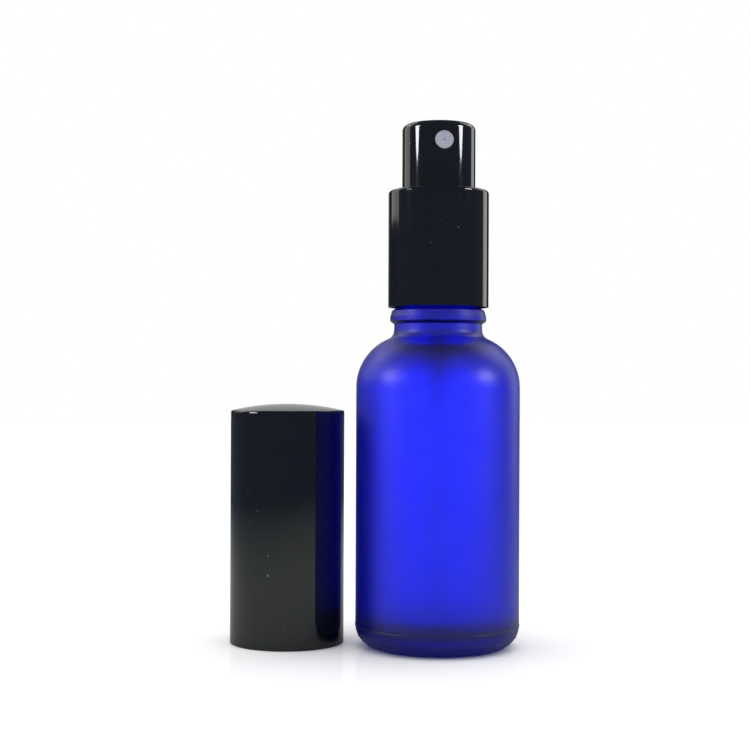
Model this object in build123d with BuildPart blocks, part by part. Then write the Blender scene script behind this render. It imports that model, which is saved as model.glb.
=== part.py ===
"""Perfume atomiser: a 30 ml glass bottle, a screw-on fine-mist pump and its loose overcap.

Millimetres, +Z up. The origin is the centre of the bottle's resting ring, and the nozzle
faces -Y. The cap stands on the same surface, beside the bottle.
"""

import os
from math import radians, sqrt, tan

from build123d import *

# ---------------------------------------------------------------- driving dimensions
# Bottle
BODY_R = 16.5
WALL = 2.4
LAND_Z = 79.2  # top of the neck, where the gasket seals
HEEL_R = 4.5
SHOULDER_R = 10.6
SHOULDER_Z = 52.2  # where the straight wall ends
SHOULDER_FILL = 1.3  # the inner shoulder starts this much lower, so the glass is thick there
NECK_R = 8.95
BEAD_R = 9.7
BEAD_Z = 66.0  # middle of the bead's widest band
BORE_R = 5.8
FOOT_R = 10.5  # inner edge of the resting ring
PUSH_UP = 1.1  # rise of the hollow base at its centre
FLOOR_Z = 3.7  # inside floor at its lowest
SEAM_PROUD = 0.09  # mould seams stand this far off the glass

# Screw thread shared by neck and closure
PITCH = 3.0
THREAD_TURNS = 1.5
CORE_R = 7.9
THREAD_R = 8.75
THREAD_Z = 71.6  # middle of the neck's thread where it starts

# Closure
COLLAR_R = 10.15
COLLAR_Z = 68.35
COLLAR_TOP = 91.8
COLLAR_EDGE = 0.6
SKIN = 0.35  # drawn aluminium skins
COLLAR_HOLE_R = 7.72

# Pump
BORE_CYL_R = 2.9
STROKE = 5.5
STEM_R = 1.75
STEM_FOOT_R = 1.25
STEM_BORE_R = 0.7
GUIDE_R = 1.82
BARREL_R = 4.0
TAIL_R = 2.25
TAIL_Z = 49.5
GASKET_T = 1.0
FLANGE_T = 1.2
FLANGE_R = 7.7
WEB_T = 1.2
LEDGE_Z = 62.0  # the spring stands here
BALL_R = 1.5
TUBE_R = 1.3
TUBE_BORE_R = 0.85
TUBE_END_Z = 5.4
WIRE_R = 0.25
COIL_R = 2.25
COILS = 7

# Actuator
HEAD_R = 7.4
HEAD_Z = 89.6  # lower edge of the skin
HEAD_TOP = 105.2
HEAD_EDGE = 1.25
NOZZLE_Z = 101.2
NOZZLE_R = 1.85
ORIFICE_R = 0.14

# Cap, standing beside the bottle
CAP_X = -29.89
CAP_Y = 7.8
CAP_R = 11.62
CAP_Z = 0.1  # the rim's height, a hair clear of the bottle's resting plane
CAP_TOP = 48.7
CAP_DOME = 1.35
CAP_EDGE = 0.5
CAP_SKIN = 0.4
CAP_BORE_R = 10.35
CAP_LINER_Z = 0.5
GRIP_R = 10.2  # crest of the ribs that grip the collar

# ---------------------------------------------------------------- worked out from them
flange_z = LAND_Z + GASKET_T
flange_top = flange_z + FLANGE_T
web_top = flange_top + WEB_T
seal_z = flange_z - 1.6
seal_top = seal_z + 1.0
rest_gap = 0.05  # between the piston and the faces it meets
piston_top = seal_z - rest_gap
piston_z = piston_top - 4.0
seat_z = piston_z - rest_gap  # top of the piston seat's disc
disc_z = seat_z - 1.1
turret_top = 90.4
boss_z = turret_top + STROKE + 0.2
socket_top = boss_z + 4.2
fit_gap = 0.03
cut_past = 1.0  # cutting tools run this far past the face they open
near = 0.01  # how close a height or radius must be to pick a corner by it


def axial(x=0.0, y=0.0):
    """Upright plane through the axis at (x, y): its X is radius and its Y is height."""
    return Plane(origin=(x, y, 0), x_dir=(1, 0, 0), z_dir=(0, -1, 0))


def turn(points, plane=axial(), mode=Mode.ADD):
    """Revolve a closed outline of (radius, height) points about the plane's upright axis."""
    with BuildSketch(plane, mode=Mode.PRIVATE) as section:
        with BuildLine():
            Polyline(*points, close=True)
        make_face()
    revolve(section.sketch, axis=Axis(plane.origin, (0, 0, 1)), mode=mode)


def ring(inner, outer, low, high, plane=axial(), mode=Mode.ADD):
    """A plain ring, or a disc where inner is 0."""
    turn([(inner, low), (outer, low), (outer, high), (inner, high)], plane, mode)


def tube_with_edge(radius, low, high, edge, mode=Mode.ADD):
    """A solid cylinder on the bottle's axis with its top edge rounded."""
    with BuildSketch(axial(), mode=Mode.PRIVATE) as section:
        with BuildLine():
            Polyline((0, low), (radius, low), (radius, high), (0, high), close=True)
        make_face()
        fillet(section.vertices().group_by(Axis.Y)[-1].sort_by(Axis.X)[-1], edge)
    revolve(section.sketch, axis=Axis.Z, mode=mode)


def thread_ridge(root, crest, root_width, crest_width, low):
    """A helical ridge from radius root to radius crest, its flanks run on into the wall."""
    outward = 1 if crest > root else -1
    depth = abs(crest - root)
    bite = 0.25
    flank = (root_width - crest_width) / 2 / depth
    half_base = root_width / 2 + flank * bite
    helix = Edge.make_helix(PITCH, PITCH * THREAD_TURNS, root, center=(0, 0, low))
    start = Plane(origin=helix @ 0, x_dir=(1, 0, 0), z_dir=helix % 0)
    with BuildPart(mode=Mode.PRIVATE) as ridge:
        with BuildSketch(start):
            with BuildLine():
                Polyline(
                    (-outward * bite, -half_base),
                    (outward * depth, -crest_width / 2),
                    (outward * depth, crest_width / 2),
                    (-outward * bite, half_base),
                    close=True,
                )
            make_face()
        sweep(path=helix, is_frenet=True)
    return ridge.part


# ---------------------------------------------------------------- bottle
inner_r = BODY_R - WALL
shoulder_axis = BODY_R - SHOULDER_R
neck_foot_z = SHOULDER_Z + sqrt(SHOULDER_R**2 - (NECK_R - shoulder_axis) ** 2)
inner_shoulder_r = SHOULDER_R - WALL
inner_shoulder_z = SHOULDER_Z - SHOULDER_FILL  # the glass thickens from here up to the neck
throat_r = 7.6
throat_z = inner_shoulder_z + sqrt(inner_shoulder_r**2 - (throat_r - shoulder_axis) ** 2)
throat_rise = 2.6  # from the inner shoulder up to the bore
neck_taper = 0.07
bead_low_z = BEAD_Z - 1.1
bead_high_z = BEAD_Z + 1.6
core_foot_z = BEAD_Z + 2.6
neck_foot_fillet = 1.9
bead_foot_fillet = 0.3
bead_fillet = 0.4
land_fillet = 0.5
floor_crown = 0.8  # the inside floor's rise at its centre
floor_flat_r = 10.5
inner_heel_fillet = 3.2
throat_fillet = 1.5
bore_fillet = 3.0

with BuildPart() as bottle:
    with BuildSketch(axial()) as outside:
        with BuildLine():
            ThreePointArc((0, PUSH_UP), (FOOT_R * 0.55, PUSH_UP * 0.7), (FOOT_R, 0))
            Line((FOOT_R, 0), (BODY_R - HEEL_R, 0))
            RadiusArc((BODY_R - HEEL_R, 0), (BODY_R, HEEL_R), -HEEL_R)
            Line((BODY_R, HEEL_R), (BODY_R, SHOULDER_Z))
            RadiusArc((BODY_R, SHOULDER_Z), (NECK_R, neck_foot_z), -SHOULDER_R)
            Polyline(
                (NECK_R, neck_foot_z),
                (NECK_R - neck_taper, bead_low_z),
                (BEAD_R, BEAD_Z - 0.45),
                (BEAD_R, BEAD_Z + 0.4),
                (BEAD_R - 0.35, bead_high_z),
                (CORE_R + 0.5, core_foot_z - 0.3),
                (CORE_R, core_foot_z),
                (CORE_R, LAND_Z),
                (0, LAND_Z),
                (0, PUSH_UP),
            )
        make_face()
        corners = outside.vertices()
        fillet(corners.filter_by(lambda v: abs(v.Y - neck_foot_z) < near), neck_foot_fillet)
        fillet(corners.filter_by(lambda v: abs(v.Y - bead_low_z) < near), bead_foot_fillet)
        fillet(corners.filter_by(lambda v: abs(v.X - BEAD_R) < near), bead_fillet)
        fillet(corners.filter_by(lambda v: abs(v.Y - bead_high_z) < near), bead_fillet)
        fillet(corners.filter_by(lambda v: v.X > 1 and abs(v.Y - LAND_Z) < near), land_fillet)
    revolve(axis=Axis.Z)
    # Mould seams round the heel: one where it meets the wall, one lower on its curve
    seam_r = 0.3
    low_seam_z = 2.3
    low_seam_at = BODY_R - HEEL_R + sqrt(HEEL_R**2 - (HEEL_R - low_seam_z) ** 2)
    with Locations((0, 0, HEEL_R)):
        Torus(BODY_R - seam_r + SEAM_PROUD, seam_r)
    with Locations((0, 0, low_seam_z + 0.1)):
        Torus(low_seam_at - seam_r + SEAM_PROUD, seam_r)
    add(thread_ridge(CORE_R, THREAD_R, 1.5, 0.7, THREAD_Z))
    with BuildSketch(axial()) as cavity:
        with BuildLine():
            Line((0, LAND_Z + cut_past), (0, FLOOR_Z + floor_crown))
            ThreePointArc(
                (0, FLOOR_Z + floor_crown),
                (floor_flat_r * 0.57, FLOOR_Z + floor_crown * 0.62),
                (floor_flat_r, FLOOR_Z),
            )
            Polyline((floor_flat_r, FLOOR_Z), (inner_r, FLOOR_Z), (inner_r, inner_shoulder_z))
            RadiusArc((inner_r, inner_shoulder_z), (throat_r, throat_z), -inner_shoulder_r)
            Polyline(
                (throat_r, throat_z),
                (BORE_R, throat_z + throat_rise),
                (BORE_R, LAND_Z + cut_past),
                (0, LAND_Z + cut_past),
            )
        make_face()
        inner_corners = cavity.vertices()
        inner_heel = inner_corners.filter_by(lambda v: abs(v.Y - FLOOR_Z) < near).sort_by(Axis.X)[-1]
        fillet(inner_heel, inner_heel_fillet)
        fillet(inner_corners.filter_by(lambda v: abs(v.X - throat_r) < near), throat_fillet)
        bore_foot = inner_corners.filter_by(lambda v: abs(v.X - BORE_R) < near).sort_by(Axis.Y)[0]
        fillet(bore_foot, bore_fillet)
    revolve(axis=Axis.Z, mode=Mode.SUBTRACT)
bottle.part.label = "bottle"

# ---------------------------------------------------------------- neck gasket
with BuildPart() as neck_gasket:
    ring(BARREL_R + 0.7, CORE_R - 0.1, LAND_Z, flange_z)
neck_gasket.part.label = "neck_gasket"

# ---------------------------------------------------------------- closure liner
# The moulded inner closure: threaded skirt, clamping web, guide lip round the actuator.
liner_r = COLLAR_R - SKIN
liner_z = COLLAR_Z + 0.55
liner_top = COLLAR_TOP - SKIN
liner_edge = COLLAR_EDGE - SKIN
skirt_r = THREAD_R + 0.2
upper_r = liner_r - 1.0
lip_r = COLLAR_HOLE_R + 0.05
turret_r = 5.9
rib_count = 12
rib_width = 0.7
rib_height = 5.0

with BuildPart() as closure_liner:
    turn(
        [
            (skirt_r, liner_z),
            (liner_r, liner_z),
            (liner_r, liner_top - liner_edge),
            (liner_r - liner_edge, liner_top),
            (lip_r, liner_top),
            (lip_r, liner_top - 0.8),
            (upper_r, liner_top - 1.3),
            (upper_r, web_top),
            (turret_r + 0.25, web_top),
            (turret_r + 0.25, flange_top),
            (skirt_r, flange_top),
        ]
    )
    with PolarLocations(upper_r - 0.3, rib_count, start_angle=15):
        with Locations((0, 0, web_top)):
            Box(1.0, rib_width, rib_height, align=(Align.CENTER, Align.CENTER, Align.MIN))
    add(thread_ridge(skirt_r, CORE_R + 0.2, 1.1, 0.5, THREAD_Z - PITCH / 2))
closure_liner.part.label = "closure_liner"

# ---------------------------------------------------------------- collar shell
with BuildPart() as collar_shell:
    tube_with_edge(COLLAR_R, COLLAR_Z, COLLAR_TOP, COLLAR_EDGE)
    tube_with_edge(liner_r, COLLAR_Z - cut_past, liner_top, liner_edge, Mode.SUBTRACT)
    ring(0, COLLAR_HOLE_R, liner_top - cut_past, COLLAR_TOP + cut_past, mode=Mode.SUBTRACT)
collar_shell.part.label = "collar_shell"

# ---------------------------------------------------------------- pump housing
# Cylinder, flange, snap rim above the flange, ball chamber and tube socket below.
rim_r = 5.0
rim_top = flange_top + 6.2
cup_r = 3.95
snap_z = rim_top - 1.2
chamber_r = 1.75
seat_throat_r = 0.9
chamber_z = 57.9
socket_z = 56.4
nub_z = chamber_z + 2.6
vent_r = 0.4
vent_z = flange_z - 5.0

with BuildPart() as pump_housing:
    turn(
        [
            (TUBE_R, TAIL_Z),
            (TAIL_R, TAIL_Z),
            (TAIL_R, LEDGE_Z - 1.5),
            (BARREL_R, LEDGE_Z + 0.5),
            (BARREL_R, flange_z - 4.0),
            (BARREL_R + 0.6, flange_z - 3.0),
            (BARREL_R + 0.6, flange_z),
            (FLANGE_R, flange_z),
            (FLANGE_R, flange_top),
            (rim_r, flange_top),
            (rim_r, snap_z - 0.5),
            (rim_r + 0.15, snap_z),
            (rim_r, snap_z + 0.5),
            (rim_r, rim_top - 0.3),
            (rim_r - 0.3, rim_top),
            (cup_r, rim_top),
            (cup_r, seal_z),
            (BORE_CYL_R, seal_z),
            (BORE_CYL_R, LEDGE_Z),
            (chamber_r, LEDGE_Z),
            (chamber_r, chamber_z),
            (seat_throat_r, chamber_z - (chamber_r - seat_throat_r)),
            (seat_throat_r, socket_z),
            (TUBE_R, socket_z),
        ]
    )
    # Three nubs keep the ball in its chamber
    with PolarLocations(chamber_r - 0.1, 3):
        with Locations((0, 0, nub_z)):
            Box(0.9, 0.8, 0.6)
    # Air vent, covered by the piston at rest
    with Locations(Location((BARREL_R - 0.5, 0, vent_z), (0, 90, 0))):
        Cylinder(vent_r, 2.6, mode=Mode.SUBTRACT)
pump_housing.part.label = "pump_housing"

# ---------------------------------------------------------------- pump retainer
retainer_wall = 1.2
snap_in_r = rim_r + 0.05
turret_chamfer = 0.6

with BuildPart() as pump_retainer:
    turn(
        [
            (GUIDE_R, seal_top),
            (cup_r, seal_top),
            (cup_r, seal_top + retainer_wall),
            (BORE_CYL_R, seal_top + retainer_wall),
            (BORE_CYL_R, turret_top - retainer_wall),
            (snap_in_r, turret_top - retainer_wall),
            (snap_in_r, snap_z + 0.55),
            (snap_in_r + 0.15, snap_z),
            (snap_in_r, snap_z - 0.55),
            (snap_in_r, flange_top),
            (turret_r, flange_top),
            (turret_r, turret_top - turret_chamfer),
            (turret_r - turret_chamfer, turret_top),
            (GUIDE_R, turret_top),
        ]
    )
    # Relief slots let the cup spring over the housing's snap rim
    with PolarLocations(turret_r - 0.4, 4, start_angle=45):
        with Locations((0, 0, flange_top + 0.9)):
            Box(1.6, 0.8, 1.8, mode=Mode.SUBTRACT)
pump_retainer.part.label = "pump_retainer"

# ---------------------------------------------------------------- stem seal
with BuildPart() as stem_seal:
    ring(STEM_R + 0.05, cup_r, seal_z, seal_top)
stem_seal.part.label = "stem_seal"

# ---------------------------------------------------------------- pump stem
port_z = piston_top - 1.4
port_r = 0.35
flute_width = 0.5

with BuildPart() as pump_stem:
    turn(
        [
            (STEM_BORE_R, seat_z),
            (STEM_FOOT_R, seat_z),
            (STEM_FOOT_R, piston_top),
            (STEM_R, piston_top),
            (STEM_R, socket_top - 0.5),
            (STEM_R - 0.3, socket_top),
            (STEM_BORE_R, socket_top),
        ]
    )
    with Locations(Location((0, 0, port_z), (0, 90, 0))):
        Cylinder(port_r, 3 * STEM_FOOT_R, mode=Mode.SUBTRACT)
    # Two flutes carry liquid up from the piston seat to the ports
    flute = port_z - seat_z
    with PolarLocations(STEM_FOOT_R, 2):
        with Locations((0, 0, seat_z + flute / 2)):
            Box(flute_width, flute_width, flute, mode=Mode.SUBTRACT)
pump_stem.part.label = "pump_stem"

# ---------------------------------------------------------------- piston
piston_r = BORE_CYL_R - 0.02
piston_waist = piston_r - 0.35
piston_bore_r = STEM_FOOT_R + 0.02
lip_tip = 0.2  # width of each lip's edge

with BuildPart() as piston:
    turn(
        [
            (piston_bore_r, piston_z),
            (1.75, piston_z),
            (2.0, piston_z + 1.2),
            (2.4, piston_z + 1.2),
            (piston_r - lip_tip, piston_z),
            (piston_r, piston_z),
            (piston_r, piston_z + 0.6),
            (piston_waist, piston_z + 1.3),
            (piston_waist, piston_top - 1.1),
            (piston_r, piston_top - 0.5),
            (piston_r, piston_top),
            (piston_r - lip_tip, piston_top),
            (2.3, piston_top - 0.7),
            (2.1, piston_top),
            (piston_bore_r, piston_top),
        ]
    )
piston.part.label = "piston"

# ---------------------------------------------------------------- piston seat
spring_boss_r = COIL_R - WIRE_R - 0.15
seat_r = BORE_CYL_R - 0.35
seat_chamfer = 0.4
plug_top = seat_z + 1.6

with BuildPart() as piston_seat:
    turn(
        [
            (0, disc_z - 0.8),
            (spring_boss_r - seat_chamfer, disc_z - 0.8),
            (spring_boss_r, disc_z - 0.8 + seat_chamfer),
            (spring_boss_r, disc_z),
            (seat_r, disc_z),
            (seat_r, seat_z - seat_chamfer),
            (seat_r - seat_chamfer, seat_z),
            (STEM_BORE_R, seat_z),
            (STEM_BORE_R, plug_top - seat_chamfer),
            (STEM_BORE_R - 0.25, plug_top),
            (0, plug_top),
        ]
    )
piston_seat.part.label = "piston_seat"

# ---------------------------------------------------------------- return spring
# Open coils between two closed end turns, which lie a little fuller than the wire.
end_wire_r = WIRE_R + 0.03
spring_low = LEDGE_Z + end_wire_r
spring_high = disc_z - end_wire_r
coil_rise = spring_high - spring_low

with BuildPart() as return_spring:
    coil = Edge.make_helix(coil_rise / COILS, coil_rise, COIL_R, center=(0, 0, spring_low))
    with BuildSketch(Plane(origin=coil @ 0, x_dir=(1, 0, 0), z_dir=coil % 0)):
        Circle(WIRE_R)
    sweep(path=coil, is_frenet=True)
    with Locations((0, 0, spring_low), (0, 0, spring_high)):
        Torus(COIL_R, end_wire_r)
return_spring.part.label = "return_spring"

# ---------------------------------------------------------------- inlet ball
ball_contact = BALL_R / sqrt(2)
ball_z = chamber_z - chamber_r + 2 * ball_contact + 0.01

with BuildPart() as inlet_ball:
    with Locations((0, 0, ball_z)):
        Sphere(BALL_R)
inlet_ball.part.label = "inlet_ball"

# ---------------------------------------------------------------- dip tube
tube_bevel = 45.0
tube_clear = TUBE_R + cut_past

with BuildPart() as dip_tube:
    ring(TUBE_BORE_R, TUBE_R, TUBE_END_Z, socket_z)
    with BuildSketch(axial()):
        with BuildLine():
            Polyline(
                (-tube_clear, TUBE_END_Z - cut_past),
                (tube_clear, TUBE_END_Z - cut_past),
                (tube_clear, TUBE_END_Z + (TUBE_R + tube_clear) * tan(radians(tube_bevel))),
                (-TUBE_R, TUBE_END_Z),
                (-tube_clear, TUBE_END_Z),
                close=True,
            )
        make_face()
    extrude(amount=tube_clear, both=True, mode=Mode.SUBTRACT)
dip_tube.part.label = "dip_tube"

# ---------------------------------------------------------------- actuator core
# Moulded button under the skin: skirt, stem socket, nozzle block with its post and feed.
core_r = HEAD_R - SKIN
core_top = HEAD_TOP - SKIN
core_z = HEAD_Z + 0.6
skirt_in = turret_r + 0.25
ceiling_z = core_top - 1.5
boss_r = 3.0
core_chamfer = 1.2
channel_r = 0.8  # upright channel above the stem
feed_r = 0.4
feed_z = NOZZLE_Z + 1.1
pocket_end = 3.2  # distance from the axis to the back of the nozzle pocket
post_r = 0.95  # the post that the nozzle insert presses over
post_face = HEAD_R - 0.9  # the post's front face, behind the nozzle's swirl chamber
block_z = NOZZLE_Z - NOZZLE_R - 1.0
block_half_width = NOZZLE_R + 0.9
web_t = 0.8
join = 0.2  # how far neighbouring features run into each other

with BuildPart() as actuator_core:
    turn(
        [
            (skirt_in, core_z),
            (core_r, core_z),
            (core_r, core_top - core_chamfer),
            (core_r - 0.3 * core_chamfer, core_top - 0.3 * core_chamfer),
            (core_r - core_chamfer, core_top),
            (0, core_top),
            (0, ceiling_z),
            (skirt_in, ceiling_z),
        ]
    )
    ring(0, boss_r, boss_z, ceiling_z + join)
    # Nozzle block from the boss to the skirt, and three webs behind it
    with BuildSketch(Plane.XY.offset(block_z)):
        with Locations((0, -skirt_in / 2 - 0.05)):
            Rectangle(2 * block_half_width, skirt_in)
    extrude(amount=ceiling_z - block_z + join)
    with PolarLocations((boss_r + skirt_in) / 2, 3, start_angle=30, angular_range=180):
        with Locations((0, 0, boss_z + 1.5)):
            Box(
                skirt_in - boss_r + 3 * join,
                web_t,
                ceiling_z + join - boss_z - 1.5,
                align=(Align.CENTER, Align.CENTER, Align.MIN),
            )
    ring(0, STEM_R + fit_gap, boss_z - cut_past, socket_top + 0.1, mode=Mode.SUBTRACT)
    ring(0, channel_r, socket_top, feed_z + feed_r, mode=Mode.SUBTRACT)
    with BuildSketch(Plane.XZ):
        with Locations((0, feed_z)):
            Circle(feed_r)
    extrude(amount=pocket_end + 0.1, mode=Mode.SUBTRACT)
    with BuildSketch(Plane.XZ.offset(pocket_end)):
        with Locations((0, NOZZLE_Z)):
            Circle(NOZZLE_R)
            Circle(post_r, mode=Mode.SUBTRACT)
    extrude(amount=core_r - pocket_end + cut_past, mode=Mode.SUBTRACT)
    with BuildSketch(Plane.XZ.offset(post_face)):
        with Locations((0, NOZZLE_Z)):
            Circle(NOZZLE_R)
    extrude(amount=2 * cut_past, mode=Mode.SUBTRACT)
actuator_core.part.label = "actuator_core"

# ---------------------------------------------------------------- actuator shell
with BuildPart() as actuator_shell:
    tube_with_edge(HEAD_R, HEAD_Z, HEAD_TOP, HEAD_EDGE)
    tube_with_edge(core_r, HEAD_Z - cut_past, core_top, HEAD_EDGE - SKIN, Mode.SUBTRACT)
    with BuildSketch(Plane.XZ):
        with Locations((0, NOZZLE_Z)):
            Circle(NOZZLE_R + 0.02)
    extrude(amount=HEAD_R + cut_past, mode=Mode.SUBTRACT)
actuator_shell.part.label = "actuator_shell"

# ---------------------------------------------------------------- nozzle insert
# A cup pressed over the core's post, its face just proud of the skin at its sides.
face_y = HEAD_R - 0.13
insert_depth = 3.1
insert_wall = 0.7
insert_bore_r = 1.2
insert_edge = 0.18
dish_r = 1.5
dish_depth = 0.16
dish_sphere = (dish_r**2 + dish_depth**2) / (2 * dish_depth)

with BuildPart() as nozzle_insert:
    with BuildSketch(Plane.XZ.offset(face_y - insert_depth)):
        with Locations((0, NOZZLE_Z)):
            Circle(NOZZLE_R)
    extrude(amount=insert_depth)
    fillet(nozzle_insert.edges().filter_by(GeomType.CIRCLE).sort_by(Axis.Y)[0], insert_edge)
    with BuildSketch(Plane.XZ.offset(face_y - insert_depth)):
        with Locations((0, NOZZLE_Z)):
            Circle(insert_bore_r)
    extrude(amount=insert_depth - insert_wall, mode=Mode.SUBTRACT)
    with Locations((0, -face_y - dish_sphere + dish_depth, NOZZLE_Z)):
        Sphere(dish_sphere, mode=Mode.SUBTRACT)
    with Locations(Location((0, -face_y, NOZZLE_Z), (90, 0, 0))):
        Cylinder(ORIFICE_R, 3, mode=Mode.SUBTRACT)
nozzle_insert.part.label = "nozzle_insert"

# ---------------------------------------------------------------- cap shell
cap_axis = axial(CAP_X, CAP_Y)
cap_side_top = CAP_TOP - CAP_DOME
cap_inner_r = CAP_R - CAP_SKIN
cap_inner_top = cap_side_top - CAP_SKIN


def domed(radius, low, edge_z, top_z, mode=Mode.ADD):
    """A cylinder on the cap's axis with a shallow domed top."""
    rise = top_z - edge_z
    sphere = (radius**2 + rise**2) / (2 * rise)
    middle = radius * 0.5
    middle_z = top_z - sphere + sqrt(sphere**2 - middle**2)
    with BuildSketch(cap_axis, mode=Mode.PRIVATE) as section:
        with BuildLine():
            Line((0, low), (radius, low))
            Line((radius, low), (radius, edge_z))
            ThreePointArc((radius, edge_z), (middle, middle_z), (0, top_z))
            Line((0, top_z), (0, low))
        make_face()
    revolve(section.sketch, axis=Axis(cap_axis.origin, (0, 0, 1)), mode=mode)


with BuildPart() as cap_shell:
    domed(CAP_R, CAP_Z, cap_side_top, CAP_TOP)
    top_edge = cap_shell.edges().filter_by(lambda e: abs(e.center().Z - cap_side_top) < near)
    fillet(top_edge, CAP_EDGE)
    domed(cap_inner_r, -cut_past, cap_inner_top, CAP_TOP - CAP_SKIN, Mode.SUBTRACT)
cap_shell.part.label = "cap_shell"

# ---------------------------------------------------------------- cap liner
cap_liner_top = cap_inner_top - 0.1
cap_ceiling = cap_liner_top - 1.1
grip_low = 1.5
grip_length = 18.0
grip_width = 1.0
grip_root_r = CAP_BORE_R + 0.3

with BuildPart() as cap_liner:
    turn(
        [
            (0, cap_ceiling),
            (CAP_BORE_R, cap_ceiling),
            (CAP_BORE_R, CAP_LINER_Z + 0.4),
            (CAP_BORE_R + 0.25, CAP_LINER_Z),
            (cap_inner_r, CAP_LINER_Z),
            (cap_inner_r, cap_liner_top),
            (0, cap_liner_top),
        ],
        cap_axis,
    )
    # Eight ribs grip the collar when the cap is pushed on
    with Locations((CAP_X, CAP_Y, grip_low)):
        with PolarLocations((GRIP_R + grip_root_r) / 2, 8):
            Box(
                grip_root_r - GRIP_R,
                grip_width,
                grip_length,
                align=(Align.CENTER, Align.CENTER, Align.MIN),
            )
cap_liner.part.label = "cap_liner"

# ---------------------------------------------------------------- export
pieces = [
    bottle,
    neck_gasket,
    closure_liner,
    collar_shell,
    pump_housing,
    pump_retainer,
    stem_seal,
    pump_stem,
    piston,
    piston_seat,
    return_spring,
    inlet_ball,
    dip_tube,
    actuator_core,
    actuator_shell,
    nozzle_insert,
    cap_shell,
    cap_liner,
]
os.makedirs("parts", exist_ok=True)
for piece in pieces:
    export_step(piece.part, f"parts/{piece.part.label}.step")
    print(piece.part.label, round(piece.part.volume, 1), "mm3")
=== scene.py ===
"""A perfume atomiser and its loose cap, standing on a pale glossy floor in a soft studio."""

import math

import bpy
from mathutils import Matrix, Vector


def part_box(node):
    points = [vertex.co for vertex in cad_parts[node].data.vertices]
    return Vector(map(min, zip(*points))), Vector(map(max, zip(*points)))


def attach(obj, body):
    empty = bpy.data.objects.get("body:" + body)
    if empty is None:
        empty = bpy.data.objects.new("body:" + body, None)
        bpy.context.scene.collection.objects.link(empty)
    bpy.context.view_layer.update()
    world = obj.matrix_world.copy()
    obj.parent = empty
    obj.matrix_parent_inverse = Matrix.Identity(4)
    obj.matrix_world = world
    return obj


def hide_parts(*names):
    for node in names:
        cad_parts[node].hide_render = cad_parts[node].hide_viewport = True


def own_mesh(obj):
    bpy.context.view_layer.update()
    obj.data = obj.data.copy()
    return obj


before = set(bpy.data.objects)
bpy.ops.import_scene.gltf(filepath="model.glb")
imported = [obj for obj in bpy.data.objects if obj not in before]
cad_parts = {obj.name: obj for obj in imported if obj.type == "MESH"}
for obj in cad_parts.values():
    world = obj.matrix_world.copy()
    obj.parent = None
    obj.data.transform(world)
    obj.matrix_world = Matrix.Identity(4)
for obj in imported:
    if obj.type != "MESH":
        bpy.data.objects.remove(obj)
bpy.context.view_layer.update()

MM = 0.001

# The camera's place, and how its view is turned from straight along +Y
CAMERA_AT = Vector((-45.7, -289.6, 53.7)) * MM
VIEW_TURN = math.radians(6.482)  # round towards +X
VIEW_PITCH = 0.00325  # upwards, in radians
VIEW_ROLL = 0.00413  # the camera's right side is raised by this, in radians
LENS = 69.55
SENSOR = 36.0


# ------------------------------------------------------------------ node helpers
class Tree:
    """Adds nodes to a node tree. An input is a number, a colour or another node's output."""

    def __init__(self, tree):
        self.tree = tree

    def add(self, kind, **settings):
        node = self.tree.nodes.new(kind)
        for key, value in settings.items():
            setattr(node, key, value)
        return node

    def feed(self, value, socket):
        if isinstance(value, bpy.types.NodeSocket):
            self.tree.links.new(value, socket)
        else:
            socket.default_value = value

    def remap(self, source, span, result=(0.0, 1.0), smooth=False):
        """Turns the span of source into the span of result, and holds it there outside."""
        curve = "SMOOTHSTEP" if smooth else "LINEAR"
        node = self.add("ShaderNodeMapRange", interpolation_type=curve)
        names = ("From Min", "From Max", "To Min", "To Max")
        for key, value in zip(names, (*span, *result)):
            node.inputs[key].default_value = value
        self.feed(source, node.inputs["Value"])
        return node.outputs["Result"]

    def math(self, operation, *values):
        node = self.add("ShaderNodeMath", operation=operation)
        for value, socket in zip(values, node.inputs):
            self.feed(value, socket)
        return node.outputs["Value"]

    def blend(self, factor, first, second):
        """Mixes two colours by a factor."""
        node = self.add("ShaderNodeMix", data_type="RGBA")
        for key, value in (("Factor", factor), ("A", first), ("B", second)):
            self.feed(value, node.inputs[key])
        return node.outputs["Result"]

    def mix_shaders(self, factor, first, second):
        node = self.add("ShaderNodeMixShader")
        for value, socket in zip((factor, first, second), node.inputs):
            self.feed(value, socket)
        return node.outputs["Shader"]


class Surface(Tree):
    """One material, with noise over the object's own coordinates, which are in metres."""

    NOISE_ROUGHNESS = 0.55

    def __init__(self, name):
        self.material = bpy.data.materials.new(name)
        self.material.use_nodes = True
        super().__init__(self.material.node_tree)
        self.shader = self.tree.nodes["Principled BSDF"]
        self.output = self.tree.nodes["Material Output"]
        self.place = self.add("ShaderNodeTexCoord").outputs["Object"]

    def set(self, **values):
        for key, value in values.items():
            self.shader.inputs[key.replace("_", " ")].default_value = value

    def to(self, source, name):
        self.feed(source, self.shader.inputs[name])

    def noise(self, scale, detail, stretch=(1, 1, 1)):
        mapping = self.add("ShaderNodeMapping")
        mapping.inputs["Scale"].default_value = stretch
        self.feed(self.place, mapping.inputs["Vector"])
        node = self.add("ShaderNodeTexNoise")
        node.inputs["Scale"].default_value = scale
        node.inputs["Detail"].default_value = detail
        node.inputs["Roughness"].default_value = self.NOISE_ROUGHNESS
        self.feed(mapping.outputs["Vector"], node.inputs["Vector"])
        return node.outputs["Fac"]

    def bump(self, height, distance, strength):
        node = self.add("ShaderNodeBump")
        node.inputs["Strength"].default_value = strength
        node.inputs["Distance"].default_value = distance
        self.feed(height, node.inputs["Height"])
        self.to(node.outputs["Normal"], "Normal")


def rgb(red, green, blue):
    return (red, green, blue, 1.0)


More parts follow.
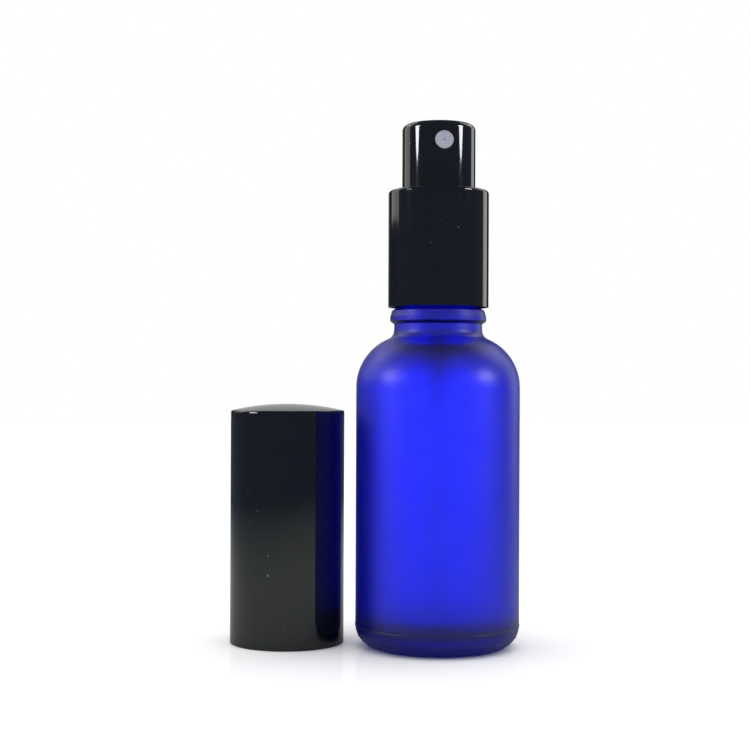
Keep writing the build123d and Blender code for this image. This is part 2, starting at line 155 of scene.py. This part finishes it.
# ------------------------------------------------------------------ materials
def frosted_glass():
    """Blue glass with an acid-frosted skin: fine grain, faint clouding and a few specks."""
    n = Surface("frosted_blue_glass")
    n.set(IOR=1.5, Transmission_Weight=1.0)
    n.shader.distribution = "GGX"
    cloud = n.noise(scale=180, detail=3.0)
    clouds = n.remap(cloud, (0.35, 0.65))
    tint = n.blend(clouds, rgb(0.30, 0.36, 0.98), rgb(0.34, 0.40, 1.0))
    frost = n.remap(n.noise(scale=2800, detail=3.0), (0.3, 0.7), (0.0, 0.35))
    tint = n.blend(frost, tint, rgb(0.2, 0.25, 0.8))
    specks = n.remap(n.noise(scale=2600, detail=1.0), (0.76, 0.8))
    n.to(n.blend(specks, tint, rgb(0.7, 0.7, 1.0)), "Base Color")
    n.to(n.remap(cloud, (0.3, 0.7), (0.36, 0.42)), "Roughness")
    grain = n.noise(scale=5000, detail=2.0)
    raised_specks = n.math("MULTIPLY", specks, 2.0)
    n.bump(n.math("ADD", grain, raised_specks), distance=0.012 * MM, strength=0.6)
    # The blue deepens with the thickness of the glass
    depth = n.add("ShaderNodeVolumeAbsorption")
    depth.inputs["Color"].default_value = rgb(0.05, 0.25, 0.9)
    depth.inputs["Density"].default_value = 700.0
    n.feed(depth.outputs["Volume"], n.output.inputs["Volume"])
    return n.material


def black_metal():
    """Bright-dipped black anodised aluminium: faint drawn lines up the side, haze and dust."""
    n = Surface("black_anodised")
    n.set(Specular_IOR_Level=0.84)
    haze = n.remap(n.noise(scale=90, detail=3.0), (0.35, 0.7), (0.04, 0.07))
    drawn = n.noise(scale=1800, detail=3.0, stretch=(1, 1, 0.02))
    lines = n.remap(drawn, (0.45, 0.85), (0.0, 0.015))
    n.to(n.math("ADD", haze, lines), "Roughness")
    dust = n.remap(n.noise(scale=1500, detail=0.5), (0.8, 0.83))
    n.to(n.blend(dust, rgb(0.003, 0.0035, 0.005), rgb(0.1, 0.1, 0.11)), "Base Color")
    n.bump(n.noise(scale=35, detail=1.0), distance=0.02 * MM, strength=0.25)
    return n.material


def moulded(name, colour, roughness, clear=0.0, grain=2200):
    """Injection-moulded plastic with a fine mould texture and slight shade changes."""
    n = Surface(name)
    n.set(Specular_IOR_Level=0.45, Transmission_Weight=clear)
    darker = rgb(*(channel * 0.9 for channel in colour[:3]))
    shade = n.remap(n.noise(scale=160, detail=3.0), (0.3, 0.7))
    n.to(n.blend(shade, darker, colour), "Base Color")
    texture = n.noise(scale=grain, detail=2.0)
    n.to(n.remap(texture, (0.3, 0.7), (roughness - 0.05, roughness + 0.06)), "Roughness")
    n.bump(texture, distance=0.006 * MM, strength=0.4)
    return n.material


def steel():
    """Drawn spring and ball steel with fine lengthwise lines."""
    n = Surface("bright_steel")
    n.set(Metallic=1.0)
    lines = n.remap(n.noise(scale=3000, detail=3.0, stretch=(1, 1, 0.1)), (0.3, 0.7))
    n.to(n.blend(lines, rgb(0.5, 0.5, 0.52), rgb(0.66, 0.66, 0.67)), "Base Color")
    n.to(n.remap(lines, (0.0, 1.0), (0.2, 0.34)), "Roughness")
    return n.material


def finish_cad_nodes():
    """Gives each CAD node its material."""
    black_plastic = moulded("black_pp", rgb(0.012, 0.012, 0.014), roughness=0.42)
    natural_pp = moulded("natural_pp", rgb(0.72, 0.74, 0.75), roughness=0.4, clear=0.1)
    pump_pp = moulded("pump_pp", rgb(0.99, 0.99, 1.0), roughness=0.12, clear=1.0)
    white_plastic = moulded("white_pe", rgb(0.8, 0.8, 0.78), roughness=0.38)
    nozzle_pom = moulded("nozzle_pom", rgb(0.3, 0.31, 0.38), roughness=0.34, grain=3000)
    seal = moulded("seal_foam", rgb(0.7, 0.7, 0.67), roughness=0.6)
    tube = moulded("tube_pe", rgb(0.97, 0.98, 1.0), roughness=0.12, clear=1.0)
    looks = (
        (frosted_glass(), ("bottle",)),
        (black_metal(), ("collar_shell", "actuator_shell", "cap_shell")),
        (black_plastic, ("closure_liner", "actuator_core")),
        (natural_pp, ("cap_liner",)),
        (pump_pp, ("pump_housing", "pump_retainer", "pump_stem")),
        (white_plastic, ("piston", "piston_seat")),
        (nozzle_pom, ("nozzle_insert",)),
        (seal, ("neck_gasket", "stem_seal")),
        (tube, ("dip_tube",)),
        (steel(), ("return_spring", "inlet_ball")),
    )
    for material, names in looks:
        for name in names:
            for material_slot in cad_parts[name].material_slots:
                material_slot.material = material


finish_cad_nodes()


# ------------------------------------------------------------------ the spring under the button
def closing_spring():
    """The pump's spring again, as a piece of its own attached to the pump, with the CAD spring
    hidden.
    """
    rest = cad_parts["return_spring"]
    spring = bpy.data.objects.new("closing_spring", rest.data.copy())
    bpy.context.scene.collection.objects.link(spring)
    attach(spring, "pump")
    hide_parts("return_spring")
    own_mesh(spring)


closing_spring()

# ------------------------------------------------------------------ floor
FLOOR_SIDE = 1.6
FLOOR_FRONT = 0.3
FLOOR_DROP = 0.02 * MM  # just under the bottle's resting ring
FLOOR_SHINE = 0.14
FLOOR_ROUGHNESS = 0.05
# Painted reflection: in what the metal mirrors, the floor darkens over this distance from the
# bottle's axis
PAINTED_REFLECTION_SPAN = (0.12, 0.36)
# Painted reflection colours, seen only by glossy rays: greenish grey near the bottle and near
# black far off, so that the metal shows a dark floor
PAINTED_REFLECTION_NEAR = rgb(0.375, 0.4, 0.37)
PAINTED_REFLECTION_FAR = rgb(0.07, 0.085, 0.12)


def floor_material():
    """Pale and slightly glossy, with a painted reflection: glossy rays see a greyer floor that
    darkens away from the bottle.
    """
    n = Surface("pale_gloss_floor")
    ray = n.add("ShaderNodeLightPath")
    distance = n.add("ShaderNodeVectorMath", operation="LENGTH")
    n.feed(n.place, distance.inputs[0])
    # Painted reflection: the fade from the near to the far colour, by distance from the
    # bottle's axis
    painted_reflection_fade = n.remap(distance.outputs["Value"], PAINTED_REFLECTION_SPAN)
    in_mirror = n.blend(painted_reflection_fade, PAINTED_REFLECTION_NEAR, PAINTED_REFLECTION_FAR)
    not_through = n.math("SUBTRACT", 1.0, ray.outputs["Is Transmission Ray"])
    mirrored = n.math("MULTIPLY", ray.outputs["Is Glossy Ray"], not_through)
    matt = n.add("ShaderNodeBsdfDiffuse")
    # Painted reflection: glossy rays that have not passed through glass see the darker colour
    # in place of the pale floor
    n.feed(n.blend(mirrored, rgb(0.95, 0.95, 0.96), in_mirror), matt.inputs["Color"])
    shine = n.add("ShaderNodeBsdfGlossy")
    shine.inputs["Roughness"].default_value = FLOOR_ROUGHNESS
    mixed = n.mix_shaders(FLOOR_SHINE, matt.outputs["BSDF"], shine.outputs["BSDF"])
    n.feed(mixed, n.output.inputs["Surface"])
    return n.material


def lay_floor():
    corners = [
        (-FLOOR_SIDE, -FLOOR_FRONT, 0.0),
        (FLOOR_SIDE, -FLOOR_FRONT, 0.0),
        (FLOOR_SIDE, FLOOR_SIDE, 0.0),
        (-FLOOR_SIDE, FLOOR_SIDE, 0.0),
    ]
    mesh = bpy.data.meshes.new("floor")
    mesh.from_pydata(corners, [], [(0, 1, 2, 3)])
    mesh.materials.append(floor_material())
    floor = bpy.data.objects.new("floor", mesh)
    resting_ring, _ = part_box("bottle")
    floor.location.z = resting_ring.z - FLOOR_DROP
    bpy.context.scene.collection.objects.link(floor)


lay_floor()

# ------------------------------------------------------------------ light
WHITE = rgb(1, 1, 1)
AMBIENT = 1.3  # on matt surfaces
BACKDROP = 3.9  # through the glass, before and behind it
SIDE_SHARE = 0.12
CEILING_SHARE = 0.1
MIRRORED_BACKDROP = 0.62
MIRRORED_ROOM = 0.17
MIRRORED_REAR_SHARE = 0.4
ROOM_TINT = rgb(0.56, 0.65, 0.9)


class Sky(Tree):
    """The studio all round, told apart by the kind of ray that meets it."""

    def __init__(self, world):
        super().__init__(world.node_tree)
        way = self.add("ShaderNodeSeparateXYZ")
        self.feed(self.add("ShaderNodeTexCoord").outputs["Generated"], way.inputs["Vector"])
        self.across = self.math("ABSOLUTE", way.outputs["X"])
        self.depthwise = self.math("ABSOLUTE", way.outputs["Y"])
        self.rearwards = way.outputs["Y"]
        self.upwards = way.outputs["Z"]

    def light(self, colour, strength):
        node = self.add("ShaderNodeBackground")
        self.feed(colour, node.inputs["Color"])
        self.feed(strength, node.inputs["Strength"])
        return node.outputs["Background"]

    def product(self, first, *others):
        for other in others:
            first = self.math("MULTIPLY", first, other)
        return first

    def through_glass(self):
        """Bright backdrops before and behind, with dimmer sides and a dark ceiling."""
        sides = self.remap(self.depthwise, (0.62, 1.0), (SIDE_SHARE, 1.0), smooth=True)
        ceiling = self.remap(self.upwards, (0.15, 0.75), (1.0, CEILING_SHARE), smooth=True)
        return self.light(WHITE, self.product(sides, ceiling, BACKDROP))

    def in_mirror(self):
        """A dark room with one bright backdrop, behind the object."""
        middle = self.remap(self.across, (0.1, 0.3), (1.0, 0.0), smooth=True)
        rear = self.remap(self.rearwards, (0.2, 0.5), smooth=True)
        low = self.remap(self.upwards, (0.45, 0.6), (1.0, 0.0), smooth=True)
        backdrop = self.light(WHITE, MIRRORED_BACKDROP)
        dimmer = self.remap(self.rearwards, (0.2, 0.8), (1.0, MIRRORED_REAR_SHARE), smooth=True)
        room = self.light(ROOM_TINT, self.product(dimmer, MIRRORED_ROOM))
        return self.mix_shaders(self.product(middle, rear, low), room, backdrop)


def light_all_round():
    world = bpy.data.worlds.new("studio")
    world.use_nodes = True
    bpy.context.scene.world = world
    sky = Sky(world)
    ray = sky.add("ShaderNodeLightPath")
    to_the_eye = sky.light(WHITE, 1.0)
    on_matt = sky.light(WHITE, AMBIENT)
    seen = sky.mix_shaders(ray.outputs["Is Diffuse Ray"], to_the_eye, on_matt)
    seen = sky.mix_shaders(ray.outputs["Is Glossy Ray"], seen, sky.in_mirror())
    seen = sky.mix_shaders(ray.outputs["Is Transmission Ray"], seen, sky.through_glass())
    sky.feed(seen, sky.tree.nodes["World Output"].inputs["Surface"])


def softbox(name, azimuth, span, distance, width, radiance, colour, shape="RECTANGLE"):
    """A soft light that faces the bottle's axis, azimuth degrees round from the camera's side.

    Its span is the height of its lower and upper edge. It shows in what mirrors it and
    through the glass, and lights no matt surface.
    """
    low, high = span
    height = high - low
    area = width * height * (math.pi / 4 if shape == "ELLIPSE" else 1.0)
    data = bpy.data.lights.new(name, "AREA")
    data.shape = shape
    data.size = width
    data.size_y = height
    data.energy = radiance * math.pi * area
    data.color = colour
    lamp = bpy.data.objects.new(name, data)
    angle = math.radians(azimuth) + math.atan2(CAMERA_AT.x, -CAMERA_AT.y)
    outward = Vector((math.sin(angle), -math.cos(angle), 0))
    lamp.location = outward * distance
    lamp.location.z = (low + high) / 2
    lamp.rotation_euler = (-outward).to_track_quat("-Z", "Y").to_euler()
    lamp.visible_diffuse = False
    lamp.visible_camera = False
    bpy.context.scene.collection.objects.link(lamp)


def overhead_lamp():
    """Lights the floor and the matt surfaces from above."""
    data = bpy.data.lights.new("overhead", "AREA")
    data.shape = "SQUARE"
    data.size = 0.8
    data.energy = 2.2
    lamp = bpy.data.objects.new("overhead", data)
    lamp.location = (0, 0, 1.1)
    lamp.visible_glossy = False
    lamp.visible_transmission = False
    bpy.context.scene.collection.objects.link(lamp)


VIOLET = (0.93, 0.9, 1.0)
OLIVE = (0.96, 1.0, 0.88)

light_all_round()
# Bright streaks down the button, each with a pointed lower end
softbox("left_strip", -71, (0.21, 0.42), 0.75, 0.255, 15.0, VIOLET, "ELLIPSE")
softbox("right_strip", 73, (0.21, 0.42), 0.75, 0.27, 14.0, VIOLET, "ELLIPSE")
# High lights from behind, for the rim of the bottle's shoulder
softbox("left_rim", -130, (0.4, 0.9), 0.6, 0.5, 1.3, VIOLET)
softbox("right_rim", 130, (0.4, 0.9), 0.6, 0.5, 1.3, VIOLET)
# Pale bands along the edges of the metal
softbox("left_panel", -118.5, (0.163, 0.6), 0.7, 0.41, 0.95, OLIVE)
softbox("left_window", -118.5, (0.223, 0.6), 0.7, 0.36, 1.8, OLIVE)
softbox("right_panel", 133.5, (0.0, 0.6), 0.7, 0.26, 1.4, OLIVE)
overhead_lamp()


# ------------------------------------------------------------------ camera
def place_camera():
    data = bpy.data.cameras.new("camera")
    data.lens = LENS
    data.sensor_width = SENSOR
    data.clip_start = 0.01
    data.clip_end = 20.0
    camera = bpy.data.objects.new("camera", data)
    # An unturned camera looks straight down, so a quarter turn brings it level
    camera.matrix_world = (
        Matrix.Translation(CAMERA_AT)
        @ Matrix.Rotation(-VIEW_TURN, 4, "Z")
        @ Matrix.Rotation(math.pi / 2 + VIEW_PITCH, 4, "X")
        @ Matrix.Rotation(VIEW_ROLL, 4, "Z")
    )
    bpy.context.scene.collection.objects.link(camera)
    bpy.context.scene.camera = camera


place_camera()
bpy.context.scene.view_settings.view_transform = "Standard"
